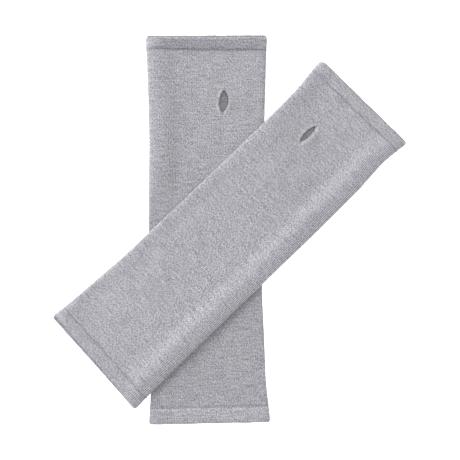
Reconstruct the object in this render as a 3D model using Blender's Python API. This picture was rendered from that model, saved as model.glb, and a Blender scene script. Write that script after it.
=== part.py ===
"""A pair of knitted arm warmers, lying flat with one crossed over the other.

Each warmer is a seamless knitted tube that lies flattened, its front on its back. The cloth is turned in
and sewn down at both ends, which gives a doubled band, and a thumb slit is left in the front. Sizes are in
millimetres and become metres as each mesh is made. The origin is the middle of the pair's footprint, on
the surface that it lies on: +Z is up, and the under warmer's hand end points along +Y.
"""

import math
from collections import namedtuple

import bmesh
import bpy

MM = 0.001

# The cloth, in mm.
CLOTH = 1.2            # wall of the single knitted cloth
BAND_CLOTH = 1.9       # wall of the doubled cloth in a band
HOLLOW = 0.3           # air between the front and the back where they lie on each other
SEAM_GAP = 0.3         # between the tube and a band, at the stitched line
HAND_BAND = 12.0       # from the hand opening's edge to its stitched line
ARM_BAND = 14.3        # from the arm opening's edge to its stitched line
LIP = 2.0              # how far the back shows past the front at an opening
CORNER = 0.8           # how far a band's corners are drawn in

# The folded sides, in mm.
NOSE_RUN = 0.5         # how much wider than its cloth a fold's rounding is
NOSE_RISE = 0.12       # share of a side's swell that lifts the outermost line of its fold
SHOULDER = 0.55        # share of a side's swell that stands right at its fold
SHOULDER_RUN = 0.8     # least run from a fold's rounding to the crest of its swell
STEEP, EASED = 90.0, 20.0      # degrees that a pressed fold turns through, and how many a swollen one lacks

# How the over warmer climbs across the under one, in mm.
LAYER_GAP = 0.3        # between the two warmers
SHELF = 4.0            # how far past the under warmer's side the top of the climb reaches
CLIMB = 50.0           # length of the climb
SWELL_ROOM = 1.3       # how much the lift exaggerates the under warmer's own swell

SLIT_TOP = 6.0         # height of the slit's cutter, above the front's swell
SLIT_STEPS = 8         # straight pieces along each lip of the slit
SHARP_EDGE = 50.0      # degrees; an edge that turns further is drawn sharp

# Points in one ring of the mesh, by stretch.
LOWER_ARC = 3
UPPER_ARC = 4
SHOULDER_STEPS = 2
FADE_STEPS = 4
MIDDLE_STEPS = 5

# One row for each section that an outline needs: its distance from the hand edge, the distances from the
# centre line to the two folded sides, and how far each loosely folded side swells above the flat cloth.
Row = namedtuple("Row", "along left right swell_left swell_right")

UNDER_ROWS = [
    #    along  left  right  swell_left  swell_right
    Row(0.0,    53.4, 53.5,  0.6,        0.3),
    Row(13.0,   53.1, 52.9,  1.8,        0.8),
    Row(37.0,   52.3, 51.9,  3.4,        1.2),
    Row(66.0,   51.6, 51.0,  4.4,        1.4),
    Row(95.0,   51.2, 50.1,  4.5,        1.4),
    Row(122.0,  51.8, 49.0,  3.6,        0.8),
    Row(148.0,  52.3, 48.4,  1.2,        0.2),
    Row(170.0,  52.4, 48.0,  0.0,        0.0),
    Row(224.0,  52.2, 47.4,  0.0,        0.0),
    Row(266.0,  52.0, 48.6,  0.0,        0.0),
    Row(301.0,  51.8, 49.8,  0.0,        0.0),
    Row(321.0,  52.2, 51.4,  0.0,        0.0),
    Row(341.8,  53.6, 53.4,  0.0,        0.0),
]

OVER_ROWS = [
    #    along  left  right  swell_left  swell_right
    Row(0.0,    53.8, 51.7,  0.3,        0.4),
    Row(12.0,   53.0, 50.5,  0.6,        1.2),
    Row(30.0,   50.8, 49.6,  0.8,        2.5),
    Row(59.0,   49.1, 51.9,  0.9,        3.1),
    Row(110.0,  48.9, 52.9,  0.9,        3.4),
    Row(165.0,  48.9, 52.9,  0.9,        3.6),
    Row(246.0,  49.6, 53.2,  0.6,        3.8),
    Row(290.0,  51.7, 53.6,  0.2,        3.5),
    Row(318.0,  53.6, 54.1,  0.0,        2.3),
    Row(332.2,  54.8, 54.8,  0.0,        1.1),
]

# How far the front stands open at the left, the middle and the right of an opening, in mm.
Gape = namedtuple("Gape", "left middle right")
Slit = namedtuple("Slit", "along across length width lean")
Warmer = namedtuple(
    "Warmer",
    "name centre turn hand_slant arm_slant rows crest_run fade_left fade_right hand_gape arm_gape"
    " back_steps stations slit lift",
)


def ease(share):
    """Smooth step from 0 to 1."""
    share = min(max(share, 0.0), 1.0)
    return share * share * (3.0 - 2.0 * share)


def blend(before, start, end, after, share):
    """Value between start and end on a smooth curve that also heeds the values either side."""
    pull_start = (end - before) / 2.0
    pull_end = (after - start) / 2.0
    square, cube = share**2, share**3
    return (
        (2 * cube - 3 * square + 1) * start
        + (cube - 2 * square + share) * pull_start
        + (3 * square - 2 * cube) * end
        + (cube - square) * pull_end
    )


def row_at(rows, along):
    """The outline's row at any distance from the hand edge."""
    along = min(max(along, rows[0].along), rows[-1].along)
    last = len(rows) - 1
    i = max(k for k in range(last) if rows[k].along <= along)
    share = (along - rows[i].along) / (rows[i + 1].along - rows[i].along)
    around = [rows[max(i - 1, 0)], rows[i], rows[i + 1], rows[min(i + 2, last)]]
    values = [blend(*column, share) for column in zip(*around)]
    return Row(along, values[1], values[2], max(values[3], 0.0), max(values[4], 0.0))


def front_height(warmer, row, across, cloth):
    """Height of the front's outer face, flat in the middle and swelling towards both folded sides."""
    height = 2.0 * cloth + HOLLOW
    left_crest = row.left - crest_run(warmer, row.swell_left, cloth)
    right_crest = row.right - crest_run(warmer, row.swell_right, cloth)
    height += row.swell_left * ease(1.0 - (left_crest + across) / warmer.fade_left)
    height += row.swell_right * ease(1.0 - (right_crest - across) / warmer.fade_right)
    return height


def shoulder_run(warmer, swell):
    """Run from the end of a fold's rounding to the crest of its swell."""
    return SHOULDER_RUN + warmer.crest_run * swell


def crest_run(warmer, swell, cloth):
    """Run from a folded side to the crest of its swell."""
    return cloth + NOSE_RUN + shoulder_run(warmer, swell)


def fold(warmer, side, edge, swell, cloth, inset):
    """One folded side, from the back round the nose and over the shoulder, for a side of +1 or -1."""
    nose = cloth + HOLLOW / 2.0 + NOSE_RISE * swell
    flat = 2.0 * cloth + HOLLOW - inset
    shoulder, crest = flat + SHOULDER * swell, flat + swell
    round_run = cloth + NOSE_RUN - inset
    turn = math.radians(STEEP - EASED * min(swell, 1.0))
    spots = []
    for i in range(LOWER_ARC):
        angle = math.pi / 2.0 * (1.0 - i / LOWER_ARC)
        spots.append((round_run * (1.0 - math.cos(angle)), nose - (nose - inset) * math.sin(angle)))
    for i in range(UPPER_ARC + 1):
        angle = turn * i / UPPER_ARC
        reach = (1.0 - math.cos(angle)) / (1.0 - math.cos(turn))
        spots.append((round_run * reach, nose + (shoulder - nose) * math.sin(angle) / math.sin(turn)))
    for i in range(1, SHOULDER_STEPS + 1):
        share = i / SHOULDER_STEPS
        run = round_run + shoulder_run(warmer, swell) * share
        spots.append((run, crest - (crest - shoulder) * (1.0 - share) ** 2))
    return [(side * (edge - inset - run), height) for run, height in spots]


def ring(warmer, row, cloth, inset, tuck):
    """One closed section of (across, height) points: the back, a fold, the front and the other fold.

    inset moves the section inwards: 0 gives the outer face, and the cloth's wall gives the inner face.
    tuck draws both folded sides in, at a band's corners.
    """
    right = fold(warmer, 1, row.right - tuck, row.swell_right, cloth, inset)
    left = fold(warmer, -1, row.left - tuck, row.swell_left, cloth, inset)
    back_start, back_end = left[0][0], right[0][0]
    back = [
        (back_start + (back_end - back_start) * i / warmer.back_steps, inset)
        for i in range(1, warmer.back_steps)
    ]
    right_crest, left_crest = right[-1][0], left[-1][0]
    fade_right = right_crest - warmer.fade_right
    fade_left = left_crest + warmer.fade_left
    stops = [right_crest + (fade_right - right_crest) * i / FADE_STEPS for i in range(1, FADE_STEPS + 1)]
    stops += [fade_right + (fade_left - fade_right) * i / MIDDLE_STEPS for i in range(1, MIDDLE_STEPS)]
    stops += [fade_left + (left_crest - fade_left) * i / FADE_STEPS for i in range(FADE_STEPS)]
    front = [(stop, front_height(warmer, row, stop, cloth) - inset) for stop in stops]
    return back + right + front + left[::-1]


def place(warmer, across, along, height):
    """Where a point of a warmer lies, from its distances along and across that warmer."""
    length = warmer.rows[-1].along
    turn = math.radians(warmer.turn)
    share = along / length
    slant = warmer.hand_slant * (1.0 - share) + warmer.arm_slant * share
    reach = along - length / 2.0 + slant * across
    x = warmer.centre[0] + across * math.cos(turn) + reach * math.sin(turn)
    y = warmer.centre[1] + across * math.sin(turn) - reach * math.cos(turn)
    return x, y, height + warmer.lift(x, y)


def rest_flat(x, y):
    """Lift of a warmer that lies on the surface all over."""
    return 0.0


def climb_over(x, y):
    """Lift of the over warmer where it climbs across the under one."""
    turn = math.radians(UNDER.turn)
    dx, dy = x - UNDER.centre[0], y - UNDER.centre[1]
    across = dx * math.cos(turn) + dy * math.sin(turn)
    along = dx * math.sin(turn) - dy * math.cos(turn) + UNDER_ROWS[-1].along / 2.0
    row = row_at(UNDER_ROWS, along)
    outside = max(across - row.right, -across - row.left)
    flat = 2.0 * CLOTH + HOLLOW
    swell = front_height(UNDER, row, across, CLOTH) - flat
    full = flat + SWELL_ROOM * swell + LAYER_GAP
    return full * ease(1.0 - (outside - SHELF) / CLIMB)


UNDER = Warmer(
    name="under",
    centre=(-19.2, 1.1),
    turn=0.5,
    hand_slant=0.004,
    arm_slant=-0.012,
    rows=UNDER_ROWS,
    crest_run=2.1,
    fade_left=24.0,
    fade_right=42.0,
    hand_gape=Gape(4.2, 4.0, 3.0),
    arm_gape=Gape(0.4, 0.6, 0.9),
    back_steps=4,
    stations=22,
    slit=Slit(along=58.2, across=14.9, length=20.0, width=8.0, lean=3.0),
    lift=rest_flat,
)

OVER = Warmer(
    name="over",
    centre=(-0.15, -2.05),
    turn=-46.15,
    hand_slant=-0.032,
    arm_slant=0.034,
    rows=OVER_ROWS,
    crest_run=3.0,
    fade_left=16.0,
    fade_right=14.0,
    hand_gape=Gape(0.6, 0.8, 0.6),
    arm_gape=Gape(3.0, 3.0, 0.8),
    back_steps=10,
    stations=30,
    slit=Slit(along=55.7, across=-14.5, length=20.5, width=5.0, lean=0.0),
    lift=climb_over,
)


def wool(name, red, green, blue):
    """Fine heathered wool jersey, matt and soft."""
    material = bpy.data.materials.new(name)
    material.use_nodes = True
    shader = material.node_tree.nodes["Principled BSDF"]
    shader.inputs["Base Color"].default_value = (red, green, blue, 1.0)
    shader.inputs["Roughness"].default_value = 0.95
    shader.inputs["Metallic"].default_value = 0.0
    shader.inputs["Sheen Weight"].default_value = 0.25
    material.diffuse_color = (red, green, blue, 1.0)
    return material


def sleeve(name, stations, material):
    """An open-ended wall from stations, each an outer and an inner ring of points, as one closed solid."""
    bm = bmesh.new()
    loops = [
        [[bm.verts.new([c * MM for c in point]) for point in face] for face in station]
        for station in stations
    ]
    count = len(loops[0][0])

    def join(one, other):
        for i in range(count):
            j = (i + 1) % count
            bm.faces.new((one[i], one[j], other[j], other[i]))

    for (outer, inner), (next_outer, next_inner) in zip(loops, loops[1:]):
        join(outer, next_outer)
        join(next_inner, inner)
    join(loops[0][1], loops[0][0])
    join(loops[-1][0], loops[-1][1])
    bmesh.ops.recalc_face_normals(bm, faces=bm.faces)
    mesh = bpy.data.meshes.new(name)
    bm.to_mesh(mesh)
    bm.free()
    mesh.materials.append(material)
    mesh.shade_smooth()
    mesh.set_sharp_from_angle(angle=math.radians(SHARP_EDGE))
    thing = bpy.data.objects.new(name, mesh)
    bpy.context.collection.objects.link(thing)
    return thing


def slit_cutter(warmer):
    """A lens-shaped prism that goes through the front only, for the thumb slit."""
    slit = warmer.slit
    half, bow = slit.length / 2.0, slit.width / 2.0
    radius = (half**2 + bow**2) / (2.0 * bow)
    sweep = math.asin(half / radius)
    outline = []
    for side in (1, -1):
        for i in range(SLIT_STEPS):
            angle = side * sweep * (1.0 - 2.0 * i / SLIT_STEPS)
            outline.append((side * (radius * math.cos(angle) - radius + bow), radius * math.sin(angle)))
    lean = math.radians(slit.lean)
    low, high = CLOTH + HOLLOW / 2.0, SLIT_TOP
    bm = bmesh.new()
    layers = []
    for height in (low, high):
        points = [
            place(
                warmer,
                slit.across + u * math.cos(lean) - v * math.sin(lean),
                slit.along + u * math.sin(lean) + v * math.cos(lean),
                height,
            )
            for u, v in outline
        ]
        layers.append([bm.verts.new([c * MM for c in point]) for point in points])
    bottom, top = layers
    bm.faces.new(bottom)
    bm.faces.new(top)
    for i in range(len(outline)):
        j = (i + 1) % len(outline)
        bm.faces.new((bottom[i], bottom[j], top[j], top[i]))
    bmesh.ops.recalc_face_normals(bm, faces=bm.faces)
    mesh = bpy.data.meshes.new(warmer.name + "_slit_cutter")
    bm.to_mesh(mesh)
    bm.free()
    cutter = bpy.data.objects.new(mesh.name, mesh)
    cutter.hide_render = True
    cutter.display_type = "WIRE"
    bpy.context.collection.objects.link(cutter)
    return cutter


def tube(warmer, material):
    """The knitted tube between the two stitched lines, with the thumb slit cut through its front."""
    start = HAND_BAND + SEAM_GAP / 2.0
    end = warmer.rows[-1].along - ARM_BAND - SEAM_GAP / 2.0
    stations = []
    for i in range(warmer.stations + 1):
        along = start + (end - start) * i / warmer.stations
        row = row_at(warmer.rows, along)
        station = [
            [place(warmer, across, along, height) for across, height in ring(warmer, row, CLOTH, inset, 0.0)]
            for inset in (0.0, CLOTH)
        ]
        stations.append(station)
    thing = sleeve(warmer.name + "_tube", stations, material)
    cutter = slit_cutter(warmer)
    cut = thing.modifiers.new("thumb_slit", "BOOLEAN")
    cut.operation = "DIFFERENCE"
    cut.object = cutter
    return thing, cutter


# A band's sections from the opening's rounded edge to the stitched line: its share of the band's depth, how
# much of the wall is left there, and how much of the corner's draw-in.
BandRow = namedtuple("BandRow", "depth wall corner")

BAND_ROWS = [
    #        depth  wall  corner
    BandRow(0.0,    0.3,  1.0),
    BandRow(0.06,   0.85, 0.45),
    BandRow(0.18,   1.0,  0.0),
    BandRow(0.6,    1.0,  0.0),
    BandRow(1.0,    1.0,  0.0),
]


def gape_at(gape, across, half_width):
    """How far the front stands open at a place across an opening, fading out at its corners."""
    share = across / half_width
    side = gape.right if share > 0.0 else gape.left
    return (gape.middle + (side - gape.middle) * abs(share)) * (1.0 - share**4)


def band(warmer, end, material):
    """The doubled band at one opening, whose back shows past its front and whose front stands open."""
    length = warmer.rows[-1].along
    depth = (HAND_BAND if end == "hand" else ARM_BAND) - SEAM_GAP / 2.0
    gape = warmer.hand_gape if end == "hand" else warmer.arm_gape
    stations = []
    for part in BAND_ROWS:
        inward = part.depth * depth
        row = row_at(warmer.rows, inward if end == "hand" else length - inward)
        spare = BAND_CLOTH * (1.0 - part.wall) / 2.0
        tuck = CORNER * part.corner
        outline = ring(warmer, row, BAND_CLOTH, 0.0, tuck)
        thickness = 2.0 * BAND_CLOTH + HOLLOW
        station = []
        for inset in (spare, BAND_CLOTH - spare):
            points = []
            for (across, height), (_, level) in zip(ring(warmer, row, BAND_CLOTH, inset, tuck), outline):
                open_share = ease(level / thickness) * (1.0 - part.depth)
                lip = LIP * open_share
                along = inward + lip if end == "hand" else length - inward - lip
                height += gape_at(gape, across, max(row.left, row.right)) * open_share
                points.append(place(warmer, across, along, height))
            station.append(points)
        stations.append(station)
    return sleeve(f"{warmer.name}_{end}_band", stations, material)


def centre_on_origin(things):
    """Shift everything so that the middle of the pair's footprint is at the origin."""
    solids = [thing for thing in things if not thing.hide_render]
    for axis in (0, 1):
        spread = [vert.co[axis] for thing in solids for vert in thing.data.vertices]
        shift = -(min(spread) + max(spread)) / 2.0
        for thing in things:
            for vert in thing.data.vertices:
                vert.co[axis] += shift


for old in list(bpy.data.objects):
    bpy.data.objects.remove(old, do_unlink=True)

body_wool = wool("heathered_wool", 0.42, 0.415, 0.445)
band_wool = wool("heathered_wool_band", 0.40, 0.395, 0.425)
pair = []
for warmer in (UNDER, OVER):
    pair += tube(warmer, body_wool)
    pair += [band(warmer, end, band_wool) for end in ("hand", "arm")]
centre_on_origin(pair)
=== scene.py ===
"""The looks of a pair of knitted arm warmers, lying flat with one crossed over the other.

Each section makes one group of pieces as the real pair is put together: the knitted tubes, the doubled
bands at their ends, the linked seams that hold the bands, the thumb slits' edges, and the studio.
Distances along a warmer run from its hand edge, and distances across it from its centre line. Lengths
are in mm, where nothing else is said.
"""

import math
from collections import namedtuple

import bpy
import numpy as np
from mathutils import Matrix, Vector


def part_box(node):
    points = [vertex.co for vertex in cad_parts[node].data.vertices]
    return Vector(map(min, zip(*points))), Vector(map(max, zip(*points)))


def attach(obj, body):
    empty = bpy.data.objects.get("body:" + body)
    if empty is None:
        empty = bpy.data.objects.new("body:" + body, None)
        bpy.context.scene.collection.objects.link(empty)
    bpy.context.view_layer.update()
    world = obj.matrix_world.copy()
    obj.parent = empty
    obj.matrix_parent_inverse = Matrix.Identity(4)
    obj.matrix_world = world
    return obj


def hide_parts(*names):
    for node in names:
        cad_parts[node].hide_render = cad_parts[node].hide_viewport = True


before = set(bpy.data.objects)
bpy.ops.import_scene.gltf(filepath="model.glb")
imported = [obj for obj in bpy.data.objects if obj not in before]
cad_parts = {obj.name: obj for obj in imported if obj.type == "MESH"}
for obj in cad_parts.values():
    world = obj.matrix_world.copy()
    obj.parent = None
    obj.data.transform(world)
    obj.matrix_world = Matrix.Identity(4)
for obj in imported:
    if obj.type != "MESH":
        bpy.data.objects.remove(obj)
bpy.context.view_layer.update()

# --- The knitted tubes ------------------------------------
# Each warmer is a tube of fine wool jersey knitted in the round, so it has no side seam. It lies pressed
# flat, its front on its back, and one side of each is loosely folded and stands a little proud. The thumb
# slit is an opening left between two columns of stitches in the front, and the cloth parts round it.

MM = 0.001        # in metres
WALES = 136       # columns of stitches round a tube
COURSE = 1.08     # height of one row of stitches
CLOTH = 1.0       # wall of the single jersey
HOLLOW = 0.3      # air between the front and the back
NOSE_RUN = 0.2    # how much wider than its cloth a fold's rounding is
SHOULDER = 0.55   # share of a side's swell that stands right at its fold
FOLD_TURN, EASED = 90.0, 20.0  # degrees that a pressed fold turns, and how many fewer a swollen one
NOSE_RISE = 0.12  # share of a side's swell that lifts the outermost line of its fold
HAND_BAND, ARM_BAND = 12.0, 14.3  # from either opening's edge to its linked seam
SEAM_GAP = 0.3    # between the tube and a band at the linked seam
LAYER_GAP = 0.3   # between the two warmers
SHELF = 4.0       # how far past the under warmer's side the over one stays level
CLIMB = 50.0      # length of the over warmer's climb on to the under one
SWELL_ROOM = 1.3  # how much the over warmer clears the under one's swollen side

FOLD_IN, FOLD_OUT, FOLD_SLOPE = 13, 17, 13  # points under a fold, over it, and up to its swell's crest
BACK_POINTS, FRONT_POINTS = 40, 160  # points across either half of the back, and across the front

# turn is in degrees, and lean and the slants are slopes.
Row = namedtuple("Row", "along left right swell_left swell_right")
Slit = namedtuple("Slit", "along across length width lean")
Crease = namedtuple("Crease", "along_from along_to across_from across_to breadth height")
Warmer = namedtuple(
    "Warmer",
    "name place turn hand_slant arm_slant hand_skew arm_skew crest_run fade_left fade_right slit rows creases"
    " waves_seed",
)

under = Warmer(
    name="under",
    place=(-19.2, 1.1),
    turn=0.5,
    hand_slant=0.004,
    arm_slant=-0.012,
    hand_skew=(0.2, 1.3, 1.7),
    arm_skew=(0.0, 0.0, 0.0),
    crest_run=2.1,
    fade_left=24.0,
    fade_right=42.0,
    slit=Slit(along=58.7, across=14.6, length=21.4, width=7.3, lean=0.085),
    rows=[
        #    along  left  right  swell_left  swell_right
        Row(0.0,    53.4, 53.5,  0.6,        0.3),
        Row(13.0,   53.1, 52.9,  2.8,        0.8),
        Row(37.0,   52.3, 51.9,  3.9,        1.2),
        Row(66.0,   51.6, 51.0,  4.4,        1.4),
        Row(95.0,   51.2, 50.1,  4.5,        1.4),
        Row(122.0,  51.8, 49.0,  3.6,        0.8),
        Row(148.0,  52.3, 48.4,  1.2,        0.2),
        Row(170.0,  52.4, 48.0,  0.0,        0.0),
        Row(224.0,  52.2, 47.4,  0.0,        0.0),
        Row(266.0,  52.0, 48.6,  0.0,        0.0),
        Row(301.0,  51.8, 49.8,  0.0,        0.0),
        Row(321.0,  52.2, 51.4,  0.0,        0.0),
        Row(341.8,  53.6, 53.4,  0.0,        0.0),
    ],
    creases=[
        #      along_from  along_to  across_from  across_to  breadth  height
        Crease(6.0,        160.0,    -28.0,       -27.5,     3.5,     -0.22),
        Crease(20.0,       44.0,     40.0,        44.0,      5.0,     0.35),
        Crease(300.0,      326.0,    38.0,        45.0,      6.0,     0.45),
        Crease(310.0,      328.0,    -38.0,       -32.0,     6.0,     0.4),
    ],
    waves_seed=3,
)

over = Warmer(
    name="over",
    place=(-0.4, -1.8),
    turn=-46.15,
    hand_slant=-0.032,
    arm_slant=0.034,
    hand_skew=(0.2, 0.0, -0.6),
    arm_skew=(0.0, 0.0, 0.0),
    crest_run=3.0,
    fade_left=16.0,
    fade_right=14.0,
    slit=Slit(along=56.1, across=-14.5, length=21.8, width=4.7, lean=0.0),
    rows=[
        #    along  left  right  swell_left  swell_right
        Row(0.0,    51.3, 51.3,  0.4,        0.6),
        Row(1.2,    52.9, 51.6,  0.6,        0.8),
        Row(3.5,    53.5, 51.5,  0.9,        1.2),
        Row(12.0,   53.0, 50.5,  1.3,        2.2),
        Row(30.0,   50.8, 49.6,  1.0,        3.4),
        Row(59.0,   49.1, 51.9,  0.9,        3.8),
        Row(110.0,  48.9, 52.9,  0.9,        3.9),
        Row(165.0,  48.9, 52.9,  0.9,        3.9),
        Row(246.0,  49.6, 53.2,  0.6,        4.1),
        Row(290.0,  51.7, 53.6,  0.6,        4.0),
        Row(318.0,  53.6, 54.1,  1.1,        3.2),
        Row(332.2,  54.8, 54.8,  0.3,        1.4),
    ],
    creases=[
        #      along_from  along_to  across_from  across_to  breadth  height
        Crease(46.0,       184.0,    -32.0,       -31.0,     2.2,     0.30),
        Crease(15.0,       30.0,     26.0,        33.0,      3.5,     0.45),
        Crease(298.0,      322.0,    28.0,        36.0,      7.0,     0.45),
        Crease(226.0,      300.0,    -12.0,       2.0,       10.0,    0.25),
    ],
    waves_seed=8,
)


def put_in(name, data):
    """A new object in the scene."""
    thing = bpy.data.objects.new(name, data)
    bpy.context.scene.collection.objects.link(thing)
    return thing


def ease(share):
    """Smooth step from 0 to 1."""
    share = np.clip(share, 0.0, 1.0)
    return share * share * (3.0 - 2.0 * share)


def outline(warmer, along):
    """Columns left, right, swell_left and swell_right at each distance along a warmer."""
    table = np.array(warmer.rows)
    knots, last = table[:, 0], len(table) - 1
    along = np.clip(along, knots[0], knots[-1])
    i = np.clip(np.searchsorted(knots, along, side="right") - 1, 0, last - 1)
    share = ((along - knots[i]) / (knots[i + 1] - knots[i]))[:, None]
    before, start, end, after = (table[np.clip(i + step, 0, last), 1:] for step in (-1, 0, 1, 2))
    square, cube = share**2, share**3
    values = (
        (2 * cube - 3 * square + 1) * start
        + (cube - 2 * square + share) * (end - before) / 2.0
        + (3 * square - 2 * cube) * end
        + (cube - square) * (after - start) / 2.0
    )
    values[:, 2:] = np.maximum(values[:, 2:], 0.0)
    return values


def swollen(warmer, sides, across, wall):
    """How far the front stands above its flat height, from the swell of the two folded sides."""
    left, right, swell_left, swell_right = sides
    left_crest = left - wall - NOSE_RUN - warmer.crest_run * swell_left
    right_crest = right - wall - NOSE_RUN - warmer.crest_run * swell_right
    from_left = swell_left * ease(1.0 - (left_crest + across) / warmer.fade_left)
    return from_left + swell_right * ease(1.0 - (right_crest - across) / warmer.fade_right)


def ring(warmer, sides, wall, inset):
    """One closed section, from the middle of the back round the right fold, the front and the left fold."""
    left, right, swell_left, swell_right = sides
    flat = 2.0 * wall + HOLLOW

    def fold(side, edge, swell):
        nose = wall + HOLLOW / 2.0 + NOSE_RISE * swell
        shoulder = flat + SHOULDER * swell - inset
        crest = flat + swell - inset
        last_turn = math.radians(FOLD_TURN - EASED * min(swell, 1.0))
        turn_in = np.linspace(math.pi / 2.0, 0.0, FOLD_IN)[:-1]
        turn_out = np.linspace(0.0, last_turn, FOLD_OUT)
        round_run = wall + NOSE_RUN - inset
        reach = (1.0 - np.cos(turn_out)) / (1.0 - math.cos(last_turn))
        rise = np.sin(turn_out) / math.sin(last_turn)
        slope = np.linspace(0.0, 1.0, FOLD_SLOPE)[1:]
        runs = [round_run * (1.0 - np.cos(turn_in)), round_run * reach]
        runs += [round_run + warmer.crest_run * swell * slope]
        heights = [nose - (nose - inset) * np.sin(turn_in), nose + (shoulder - nose) * rise]
        heights += [crest - (crest - shoulder) * (1.0 - slope) ** 2]
        out = edge - inset - np.concatenate(runs)
        return np.stack([side * out, np.concatenate(heights)], axis=1)

    right_fold = fold(1.0, right, swell_right)
    left_fold = fold(-1.0, left, swell_left)
    back_right = np.linspace(0.0, right_fold[0, 0], BACK_POINTS)[:-1]
    back_left = np.linspace(left_fold[0, 0], 0.0, BACK_POINTS)[1:-1]
    front = np.linspace(right_fold[-1, 0], left_fold[-1, 0], FRONT_POINTS)[1:-1]
    level = flat + swollen(warmer, sides, front, wall) - inset
    parts = [
        np.stack([back_right, np.full_like(back_right, inset)], axis=1),
        right_fold,
        np.stack([front, level], axis=1),
        left_fold[::-1],
        np.stack([back_left, np.full_like(back_left, inset)], axis=1),
    ]
    return np.concatenate(parts)


def even_rings(warmer, stations, wall, insets, tuck=0.0):
    """Rings of evenly spaced points at each station, one grid of (across, height) for each row of insets."""
    sides = outline(warmer, stations)
    sides[:, :2] -= np.broadcast_to(tuck, (len(stations),))[:, None]
    grids = [np.zeros((len(stations), WALES, 2)) for _ in insets]
    for i, row in enumerate(sides):
        outer = ring(warmer, row, wall, 0.0)
        closed = np.concatenate([outer, outer[:1]])
        run = np.concatenate([[0.0], np.cumsum(np.linalg.norm(np.diff(closed, axis=0), axis=1))])
        stops = np.interp(np.arange(WALES) * run[-1] / WALES, run, np.arange(len(run)))
        for grid, inset in zip(grids, insets):
            shape = ring(warmer, row, wall, inset[i])
            shape = np.concatenate([shape, shape[:1]])
            for axis in (0, 1):
                grid[i, :, axis] = np.interp(stops, np.arange(len(shape)), shape[:, axis])
    return grids


def measured_from(warmer, x, y):
    """Distances across and along a warmer of places on the table, in mm."""
    turn = math.radians(warmer.turn)
    dx, dy = x - warmer.place[0], y - warmer.place[1]
    across = dx * math.cos(turn) + dy * math.sin(turn)
    along = dx * math.sin(turn) - dy * math.cos(turn) + warmer.rows[-1].along / 2.0
    return across, along


def rest_level(warmer, x, y):
    """How high a warmer's back lies: 0, except where the over one climbs across the under one."""
    if warmer.name == "under":
        return np.zeros_like(x)
    across, along = measured_from(under, x, y)
    sides = outline(under, along.ravel()).T.reshape((4,) + x.shape)
    outside = np.maximum(across - sides[1], -across - sides[0])
    swell = swollen(under, sides, across, CLOTH)
    full = 2.0 * CLOTH + HOLLOW + SWELL_ROOM * swell + LAYER_GAP
    return full * ease(1.0 - (outside - SHELF) / CLIMB)


def table_place(warmer, across, along):
    """Where on the table a place on a warmer lies, in mm."""
    length = warmer.rows[-1].along
    turn = math.radians(warmer.turn)
    share = along / length
    slant = warmer.hand_slant * (1.0 - share) + warmer.arm_slant * share
    reach = along - length / 2.0 + slant * across
    x = warmer.place[0] + across * math.cos(turn) + reach * math.sin(turn)
    y = warmer.place[1] + across * math.sin(turn) - reach * math.cos(turn)
    return x, y


def lay(warmer, across, along, height):
    """Points in metres, from distances across, along and above a warmer."""
    x, y = table_place(warmer, across, along)
    return np.stack([x, y, height + rest_level(warmer, x, y)], axis=-1) * MM


def tube_ends(warmer):
    """Where a warmer's tube begins and ends between its bands, in mm along it."""
    return HAND_BAND + SEAM_GAP / 2.0, warmer.rows[-1].along - ARM_BAND - SEAM_GAP / 2.0


# The tables above are measured from the pair's middle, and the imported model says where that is.
OUTLINE_ROWS = 200  # rows that the under tube's own box is measured at
measured = np.linspace(*tube_ends(under), OUTLINE_ROWS)
flat_ring = even_rings(under, measured, CLOTH, [np.zeros(OUTLINE_ROWS)])[0]
flat_x, flat_y = table_place(under, flat_ring[:, :, 0], measured[:, None])
low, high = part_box("under_tube")
nudge_x = (low[0] + high[0]) / 2.0 / MM - (flat_x.min() + flat_x.max()) / 2.0
nudge_y = (low[1] + high[1]) / 2.0 / MM - (flat_y.min() + flat_y.max()) / 2.0
under = under._replace(place=(under.place[0] + nudge_x, under.place[1] + nudge_y))
over = over._replace(place=(over.place[0] + nudge_x, over.place[1] + nudge_y))


WAVES = ((46.0, 0.55), (27.0, 0.30), (15.0, 0.15))  # sizes and strengths
WAVES_OF_A_SIZE = 3
WAVE_SLANT = 0.45          # most that a wave slants, in radians
WAVE_STRETCH = (1.6, 3.0)  # how much longer than broad a wave is
WAVE_SUM = 1.5             # what the waves' sum is divided by, to bring it near 1


def waves(seed, across, along):
    """Gentle unevenness of relaxed cloth, from a few crossed waves, between about -1 and 1."""
    draw = np.random.default_rng(seed)
    total = np.zeros(np.broadcast(across, along).shape)
    for size, strength in WAVES:
        for _ in range(WAVES_OF_A_SIZE):
            angle = draw.uniform(-WAVE_SLANT, WAVE_SLANT)
            stretch = draw.uniform(*WAVE_STRETCH)
            phase = draw.uniform(0.0, 2.0 * math.pi, 2)
            u = (across * math.cos(angle) + along * math.sin(angle)) / size
            v = (along * math.cos(angle) - across * math.sin(angle)) / (size * stretch)
            total += strength * np.sin(2.0 * math.pi * u + phase[0]) * np.sin(2.0 * math.pi * v + phase[1])
    return total / WAVE_SUM


CREASE_END = 0.25  # share of a crease's length over which either end of it fades out


def crease_height(crease, across, along):
    """Height of one soft ridge, or depth of one trough, about a slanting line along the cloth."""
    share = (along - crease.along_from) / (crease.along_to - crease.along_from)
    line = crease.across_from + (crease.across_to - crease.across_from) * share
    ends_soften = ease(share / CREASE_END) * ease((1.0 - share) / CREASE_END)
    return crease.height * ends_soften * np.exp(-(((across - line) / crease.breadth) ** 2))


SKEW_SPOTS = (-45.0, 0.0, 45.0)  # the places across where hand_skew and arm_skew are measured
SEAM_WANDER = 0.35  # how far a linked seam wanders either way
SEAM_WAVES = 2.2    # how much shorter a seam's waves are than the cloth's
SEAM_PULL = 9.0     # how far into the tube a seam that lies askew draws the rows with it


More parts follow.
